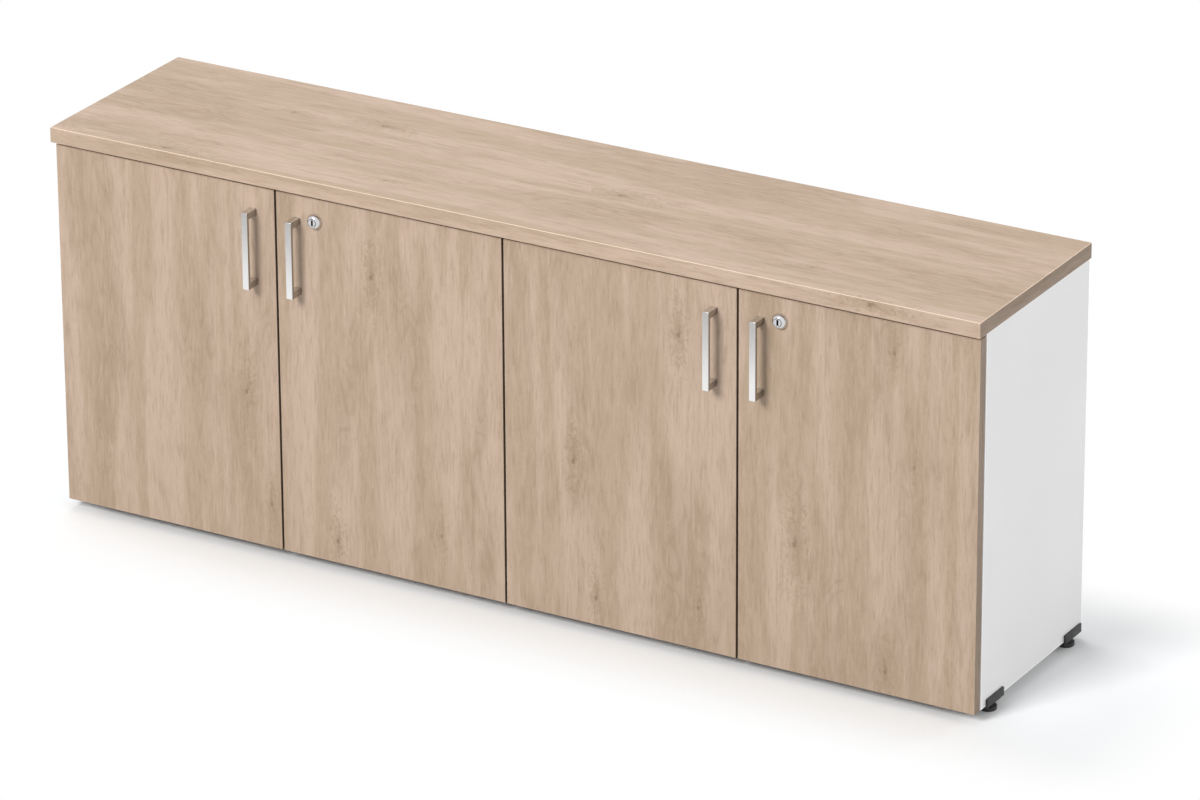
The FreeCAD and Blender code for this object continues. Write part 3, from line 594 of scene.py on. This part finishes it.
for number in (2, 4):
    node = "lock_{}_housing".format(number)
    low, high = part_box(node)
    axis = (low + high) / 2
    door_face = low.y + ROSE_HIGH_MM * MM
    rose = bmesh.new()
    spun(rose, ROSE, 72)
    placed(rose, (axis.x, door_face, axis.z), (0, -1, 0))
    piece("lock_rose_{}".format(number), rose, "door_{}".format(number), chrome,
          [node], 30.0)

    low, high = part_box("lock_{}_plug".format(number))
    # the slot's frame and wards carry the painted shade of the key slot
    wards = [slot_frame((axis.x, low.y - SLOT_PROUD_MM * MM, axis.z))]
    wards += [key_ward((axis.x + x * MM, low.y + WARD_DEEP_MM * MM, axis.z + z * MM))
              for x, z in WARDS_MM]
    piece("key_slot_wards_and_shade_{}".format(number), joined(wards), "lock_{}_barrel".format(number),
          key_slot_painted_shade)

# %% [markdown]
# ## Feet
# Four plastic brackets clip round the lower edge of the sides, and two lie under the middle. Each
# holds a levelling glide: a disc on a threaded stud. The bracket's section is an L, extruded along
# the side; its inner corners are cut off with a plane, and every edge is eased as moulded plastic
# is.

# %% Foot brackets
FLOOR_GAP = 0.018                                 # from the floor to the boards
BASE_LOW = 0.015                                  # the underside of a bracket
NUT_LOW = 0.0115                                  # the underside of its nut
HALF_LONG = 0.030
SIDE_OUT = 0.8965                                 # the outer face of a side
PLATE_OUT = 0.9005                                # the outer face of a bracket
BRACKET_INNER = 0.8445
LIP_HIGH = 0.013
GLIDE_X = 0.886
GLIDES_Y = (-0.1105, 0.1755)
CROP = 0.007
NUT_HALF_MM, BORE_MM = 7.5, 4.1
BRACKET_EASE_MM, NUT_EASE_MM = 0.8, 0.4


def hexagon_radius(half_mm):
    """From the middle of a hexagon to its corners, where its flats are this far out."""
    return half_mm * MM / math.cos(math.pi / 6)


def nut_ring(at):
    """A moulded hexagon with a round hole for the stud."""
    ring = bmesh.new()
    bmesh.ops.create_circle(ring, cap_ends=False, radius=hexagon_radius(NUT_HALF_MM), segments=6)
    bmesh.ops.subdivide_edges(ring, edges=ring.edges[:], cuts=3, use_grid_fill=False)
    bmesh.ops.create_circle(ring, cap_ends=False, radius=BORE_MM * MM, segments=24)
    bmesh.ops.bridge_loops(ring, edges=ring.edges[:])
    extruded(ring, ring.faces[:], (0, 0, BASE_LOW - NUT_LOW))
    eased(ring, NUT_EASE_MM)
    return placed(ring, at)


def cropped_corner(shape, at, way):
    """Cuts a corner off with a plane and closes the cut."""
    cut = bmesh.ops.bisect_plane(shape, geom=shape.verts[:] + shape.edges[:] + shape.faces[:],
                                 dist=0.0001 * MM, plane_co=at, plane_no=way, clear_outer=True)
    edges = [part for part in cut["geom_cut"] if isinstance(part, bmesh.types.BMEdge)]
    bmesh.ops.contextual_create(shape, geom=edges)
    bmesh.ops.recalc_face_normals(shape, faces=shape.faces[:])


def side_bracket(side, y):
    """A bracket round the lower edge of a side, with its two inner corners cut off."""
    bracket = bmesh.new()
    section = [(BRACKET_INNER, BASE_LOW), (PLATE_OUT, BASE_LOW), (PLATE_OUT, FLOOR_GAP + LIP_HIGH),
               (SIDE_OUT, FLOOR_GAP + LIP_HIGH), (SIDE_OUT, FLOOR_GAP), (BRACKET_INNER, FLOOR_GAP)]
    face = outline(bracket, [(side * x, y - HALF_LONG, z) for x, z in section])
    extruded(bracket, [face], (0, 2 * HALF_LONG, 0))
    for end in (-1, 1):
        corner = (side * (BRACKET_INNER + CROP / 2), y + end * (HALF_LONG - CROP / 2), 0)
        cropped_corner(bracket, corner, (-side, end, 0))
    eased(bracket, BRACKET_EASE_MM, 3)
    return bracket


def centre_bracket(y):
    """A flat bracket under the middle, with all four corners cut off."""
    bracket = bmesh.new()
    corners = [(-HALF_LONG, y - HALF_LONG), (HALF_LONG, y - HALF_LONG), (HALF_LONG, y + HALF_LONG),
               (-HALF_LONG, y + HALF_LONG)]
    face = outline(bracket, [(a, b, BASE_LOW) for a, b in corners])
    extruded(bracket, [face], (0, 0, FLOOR_GAP - BASE_LOW))
    for a in (-1, 1):
        for b in (-1, 1):
            corner = (a * (HALF_LONG - CROP / 2), y + b * (HALF_LONG - CROP / 2), 0)
            cropped_corner(bracket, corner, (a, b, 0))
    eased(bracket, BRACKET_EASE_MM, 3)
    return bracket


side_shapes, centre_shapes = [], []
for y in GLIDES_Y:
    centre_shapes += [centre_bracket(y), nut_ring((0, y, NUT_LOW))]
    for side in (-1, 1):
        side_shapes += [side_bracket(side, y), nut_ring((side * GLIDE_X, y, NUT_LOW))]
piece("moulded_brackets_side", joined(side_shapes), "cabinet", black_plastic,
      ["foot_brackets_side"])
piece("moulded_brackets_centre", joined(centre_shapes), "cabinet", black_plastic,
      ["foot_brackets_centre"])

# %% [markdown]
# ## Levelling glides
# Each glide is turned: a disc with a rounded rim and a slightly hollow top, under a hexagon that a
# spanner or fingers can turn, on a stud. The stud's thread is drawn as rings, which look the same
# at this size as a true spiral and stay one closed shape.

# %% Glides
DISC = [(0, 0), (14.2, 0), (14.8, 0.3), (15.0, 0.8), (15.0, 6.2), (14.8, 6.7), (14.3, 6.9),
        (11.0, 6.8), (9.6, 7.0), (0, 7.0)]
HUB_HALF_MM, HUB_LOW_MM, HUB_HIGH_MM = 6.5, 6.6, 3.4
THREAD_LOW, THREAD_HIGH, PITCH = 10.0, 40.0, 1.25
ROOT, CREST, TIP = 3.4, 4.0, 3.0                  # the thread's radii in millimetres
NECK = 0.5                                        # the stud starts this far inside the hexagon


def thread_profile():
    """A half section of the stud, a tooth for each turn of the thread."""
    points = [(0, THREAD_LOW - NECK), (ROOT, THREAD_LOW - NECK)]
    height = THREAD_LOW
    while height + PITCH < THREAD_HIGH:
        points += [(ROOT, height), (CREST, height + PITCH / 2)]
        height += PITCH
    return points + [(ROOT, height), (TIP, THREAD_HIGH), (0, THREAD_HIGH)]


for name in frame["nodes"]:
    if not name.startswith("glide_"):
        continue
    low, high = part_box(name)
    centre = (low + high) / 2
    disc, stud, hub = bmesh.new(), bmesh.new(), bmesh.new()
    spun(disc, DISC, 64)
    spun(stud, thread_profile(), 24)
    bmesh.ops.create_circle(hub, cap_ends=True, radius=hexagon_radius(HUB_HALF_MM), segments=6)
    extruded(hub, hub.faces[:], (0, 0, HUB_HIGH_MM * MM))
    placed(hub, (0, 0, HUB_LOW_MM * MM))
    eased(hub, NUT_EASE_MM)
    whole = placed(joined([disc, stud, hub]), (centre.x, centre.y, 0))
    piece("moulded_" + name, whole, name, black_plastic, [name])

# %% [markdown]
# ## Screws
# Dozens of small screws hold the hinges, plates, handles and brackets. They are too small for the
# frame, so they are added here. One head is a low dome with a cross sunk in it: a round loop and a
# cross-shaped loop are bridged, and the cross is pushed in. Each group of screws is one piece, and
# it rides on the body that it is screwed to.

# %% Screw heads
CROSS = [(-0.16, -0.6), (0.16, -0.6), (0.16, -0.16), (0.6, -0.16), (0.6, 0.16), (0.16, 0.16),
         (0.16, 0.6), (-0.16, 0.6), (-0.16, 0.16), (-0.6, 0.16), (-0.6, -0.16), (-0.16, -0.16)]
DOME = ((1.0, -0.2), (1.0, 0.35), (0.94, 0.62), (0.80, 0.86))     # loops: how wide, how high
SUNK, TAPERED = 0.7, 0.7                          # the cross's depth, and its size down there


def screw(at, along, head_mm):
    """A domed head with a cross in it; head_mm is its radius and its height."""
    head = bmesh.new()
    r, h = [size * MM for size in head_mm]
    loops = []
    for wide, up in DOME:
        loop = bmesh.ops.create_circle(head, cap_ends=False, radius=r * wide, segments=24)["verts"]
        bmesh.ops.translate(head, verts=loop, vec=(0, 0, h * up))
        loops.append(loop)
    cross = [head.verts.new((r * a, r * b, h)) for a, b in CROSS]
    sunk = head.faces.new(cross)
    loops.append(cross)
    for lower, upper in zip(loops, loops[1:]):
        near = dict.fromkeys(e for v in lower + upper for e in v.link_edges)
        both = [e for e in near
                if all(v in lower for v in e.verts) or all(v in upper for v in e.verts)]
        bmesh.ops.bridge_loops(head, edges=both)
    head.faces.new(loops[0])
    moved = extruded(head, [sunk], (0, 0, -SUNK * h), keep=False)
    bmesh.ops.scale(head, verts=moved, vec=(TAPERED, TAPERED, 1.0))
    return placed(head, at, along)


# %% [markdown]
# On the back of each door two screws hold each hinge cup, one in each ear of its flange, and two
# hold the handle. Four more hold the case of the bolt, on the doors that have one.

# %% Screws of the doors
CUP_HEAD, HANDLE_HEAD, CASE_HEAD = (3.8, 1.3), (4.0, 2.0), (2.2, 1.0)
HINGES_Z = (0.118, 0.586)
DOOR_BACK = -0.162
DOOR_END, HALF_SEAM = 0.896, 0.002
CUP_IN = 0.021                                    # from the door's edge to the middle of a cup
CUP_SCREWS_IN, CUP_SCREWS_UP, FLANGE = 0.003, 0.0245, 0.0012
CASE_SCREWS_IN, CASE_SCREWS_UP, CASE_EAR = 0.003, 0.007, 0.0015
BACKWARDS, DOWN = (0, 1, 0), (0, 0, -1)

door_screws = {1: [], 2: [], 3: [], 4: []}
hinge_edge = {1: (-DOOR_END, 1), 2: (-HALF_SEAM, -1), 3: (HALF_SEAM, 1), 4: (DOOR_END, -1)}
for number, (edge, inwards) in hinge_edge.items():
    cup_x = edge + inwards * CUP_IN
    for z in HINGES_Z:
        for up in (-CUP_SCREWS_UP, CUP_SCREWS_UP):
            at = (cup_x + inwards * CUP_SCREWS_IN, DOOR_BACK + FLANGE, z + up)
            door_screws[number].append(screw(at, BACKWARDS, CUP_HEAD))
    low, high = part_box("door_{}_handle".format(number))
    for z in (low.z + POST / 2, high.z - POST / 2):
        at = ((low.x + high.x) / 2, DOOR_BACK, z)
        door_screws[number].append(screw(at, BACKWARDS, HANDLE_HEAD))
for number in (1, 3):
    low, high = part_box("bolt_{}_case".format(number))
    for x in (low.x + CASE_SCREWS_IN, high.x - CASE_SCREWS_IN):
        for z in (low.z + CASE_SCREWS_UP, high.z - CASE_SCREWS_UP):
            at = (x, DOOR_BACK + CASE_EAR, z)
            door_screws[number].append(screw(at, BACKWARDS, CASE_HEAD))
for number, heads in door_screws.items():
    piece("door_{}_screws".format(number), joined(heads), "door_{}".format(number), zinc)

# %% [markdown]
# The hinge plates are screwed to the sides and the partition, above and below the arm. On the arm
# itself sit two more: one clamps it on the plate's ridge, and one sets how far the door overlaps.
# Two screws hold each keeper under the top and each foot bracket at the sides, and four hold each
# bracket in the middle.

# %% Screws of the carcass
PLATE_HEAD, ARM_HEAD, BRACKET_HEAD = (3.8, 1.3), (3.2, 1.6), (3.8, 1.6)
PANELS = ((-0.8785, 1), (-0.009, -1), (0.009, 1), (0.8785, -1))   # face that holds plates, inwards
PLATE_THICK, PLATE_SCREWS_UP, PLATE_Y = 0.002, 0.0165, CARCASS_FRONT + 0.037
ARM_TOP, ARM_SCREWS_Y = 0.0055 + 0.0012, (CARCASS_FRONT + 0.026, CARCASS_FRONT + 0.048)
KEEPERS = (((-0.3695, 0.5285), 0.010, -0.1565 + 0.014, 0.672, (3.0, 1.4)),     # of the locks
           ((-0.471, 0.427), 0.0135, -0.1513, 0.6725, (2.4, 1.0)))             # of the bolts
BRACKET_SCREWS_X, BRACKET_SCREWS_Y = (0.8545, 0.0195), 0.019

plate_heads, arm_heads, keeper_heads, bracket_heads = [], [], [], []
for panel, inwards in PANELS:
    way = (inwards, 0, 0)
    for z in HINGES_Z:
        for up in (-PLATE_SCREWS_UP, PLATE_SCREWS_UP):
            at = (panel + inwards * PLATE_THICK, PLATE_Y, z + up)
            plate_heads.append(screw(at, way, PLATE_HEAD))
        for y in ARM_SCREWS_Y:
            arm_heads.append(screw((panel + inwards * ARM_TOP, y, z), way, ARM_HEAD))
for middles, apart, y, z, head_mm in KEEPERS:
    for x in middles:
        for off in (-apart, apart):
            keeper_heads.append(screw((x + off, y, z), DOWN, head_mm))
for y in GLIDES_Y:
    for off in (-BRACKET_SCREWS_Y, BRACKET_SCREWS_Y):
        for side in (-1, 1):
            for x in BRACKET_SCREWS_X:
                bracket_heads.append(screw((side * x, y + off, BASE_LOW), DOWN, BRACKET_HEAD))
for name, heads in (("hinge_plate_screws", plate_heads), ("hinge_arm_screws", arm_heads),
                    ("keeper_screws", keeper_heads), ("bracket_screws", bracket_heads)):
    piece(name, joined(heads), "cabinet", zinc)

# %% [markdown]
# ## The floor
# A pale floor takes the cupboard's soft shadow. Close to the cupboard it is plain matt paint,
# which shows the shadow in full. Further off it turns by and by into an even glow that only the
# camera and mirrors see. So the floor fades to white around the cupboard without more light
# falling on the cupboard itself. How far off a point is comes from its place: how much it lies
# outside an oblong. The paint looks a little cool, because the oak warms its shadow, and for the
# light that it sends back to the cupboard it is a darker grey.

# %% Floor
FLOOR_HALF = 12.0
FLOOR_SEEN = (0.905, 0.915, 0.922, 1)
FLOOR_BOUNCE = (0.50, 0.50, 0.50, 1)
SHADED_LOW, SHADED_HIGH = (-0.88, -0.19), (1.06, 0.24)        # the oblong that keeps its shadow
FADE = 0.20


def seen_directly(tree):
    """One for rays from the camera, off a mirror or through glass, and nought for all others."""
    path = add(tree, "LightPath").outputs
    mirror = sums(tree, "MAXIMUM", path["Is Glossy Ray"], path["Is Transmission Ray"])
    return sums(tree, "MAXIMUM", path["Is Camera Ray"], mirror)


floor_shape = bmesh.new()
bmesh.ops.create_grid(floor_shape, x_segments=4, y_segments=4, size=FLOOR_HALF)
floor_mesh = bpy.data.meshes.new("floor")
floor_shape.to_mesh(floor_mesh)
floor_shape.free()
floor = bpy.data.objects.new("floor", floor_mesh)
bpy.context.collection.objects.link(floor)

floor_paint = bpy.data.materials.new("floor paint")
floor_paint.use_nodes = True
tree = floor_paint.node_tree
tree.nodes.clear()
middle = [(a + b) / 2 for a, b in zip(SHADED_LOW, SHADED_HIGH)] + [0.0]
half = [(b - a) / 2 for a, b in zip(SHADED_LOW, SHADED_HIGH)] + [0.0]
place = add(tree, "TexCoord").outputs["Object"]
offset = add(tree, "VectorMath", {0: place, 1: middle}, operation="SUBTRACT").outputs[0]
either = add(tree, "VectorMath", {0: offset}, operation="ABSOLUTE").outputs[0]
beyond = add(tree, "VectorMath", {0: either, 1: half}, operation="SUBTRACT").outputs[0]
outside = add(tree, "VectorMath", {0: beyond}, operation="MAXIMUM").outputs[0]
away = add(tree, "VectorMath", {0: outside}, operation="LENGTH").outputs["Value"]
share = sums(tree, "MULTIPLY", between(tree, away, 0.0, FADE), seen_directly(tree))
paint = blended(tree, FLOOR_BOUNCE, FLOOR_SEEN, seen_directly(tree))
matt = add(tree, "BsdfDiffuse", {"Color": paint})
glow = add(tree, "Emission", {"Color": (1, 1, 1, 1), "Strength": 1.0})
both = add(tree, "MixShader", {0: share, 1: matt.outputs[0], 2: glow.outputs[0]})
add(tree, "OutputMaterial", {0: both.outputs[0]})
floor_mesh.materials.append(floor_paint)
print("floor fades to white over", FADE, "m")

# %% [markdown]
# ## Surroundings
# The world is a big even dome of light. For the camera and for mirrors it is plain white; for all
# other light it is dimmer, and leaves the modelling to the lamps.

# %% Dome
AMBIENT = 0.36
world = bpy.data.worlds.new("studio")
bpy.context.scene.world = world
world.use_nodes = True
tree = world.node_tree
tree.nodes.clear()
strength = between(tree, seen_directly(tree), 0.0, 1.0, AMBIENT, 1.0)
sky = add(tree, "Background", {"Color": (1, 1, 1, 1), "Strength": strength})
add(tree, "OutputWorld", {0: sky.outputs[0]})
print("dome", AMBIENT)

# %% [markdown]
# ## Studio light
# A large soft lamp stands in front, to the left of the camera, and makes the faint shadows of the
# handles. A second hangs high up at the back left, for the top. A third stands square to the white
# side, so that it lights the side and leaves the seams between the doors dark. Two low ones keep
# the back and the other side from going grey. Glossy surfaces don't mirror the last three, because
# seen from low down they would lie as a white glare over the top's oak. The helper is told how
# bright a white card that faces the lamp would be, and works out its power: a lamp of power P
# lights a card at distance d to P / (pi * pi * d * d).

# %% Lamps
AIM = Vector((0, 0, 0.4))


def softbox(name, at, size, level, mirrored=True):
    """A square lamp at a place, turned to the cupboard; level is the brightness of a white card."""
    far = (Vector(at) - AIM).length
    lamp = bpy.data.lights.new(name, "AREA")
    lamp.shape = "SQUARE"
    lamp.size = size
    lamp.energy = level * math.pi ** 2 * far ** 2
    item = bpy.data.objects.new(name, lamp)
    item.location = at
    item.rotation_mode = "QUATERNION"
    item.rotation_quaternion = (AIM - Vector(at)).to_track_quat("-Z", "Y")
    item.visible_glossy = mirrored
    bpy.context.collection.objects.link(item)
    print(name, round(lamp.energy), "W at", round(far, 1), "m")


softbox("key", (-1.9, -8.5, 6.5), 3.4, 0.735)
softbox("overhead", (-3.2, 2.6, 7.6), 3.6, 0.18)
softbox("fill", (9.0, -1.2, 3.4), 3.5, 0.31, mirrored=False)
softbox("back", (5.0, 9.0, 2.0), 3.2, 0.36, mirrored=False)
softbox("left", (-9.8, 1.6, 2.4), 3.2, 0.30, mirrored=False)
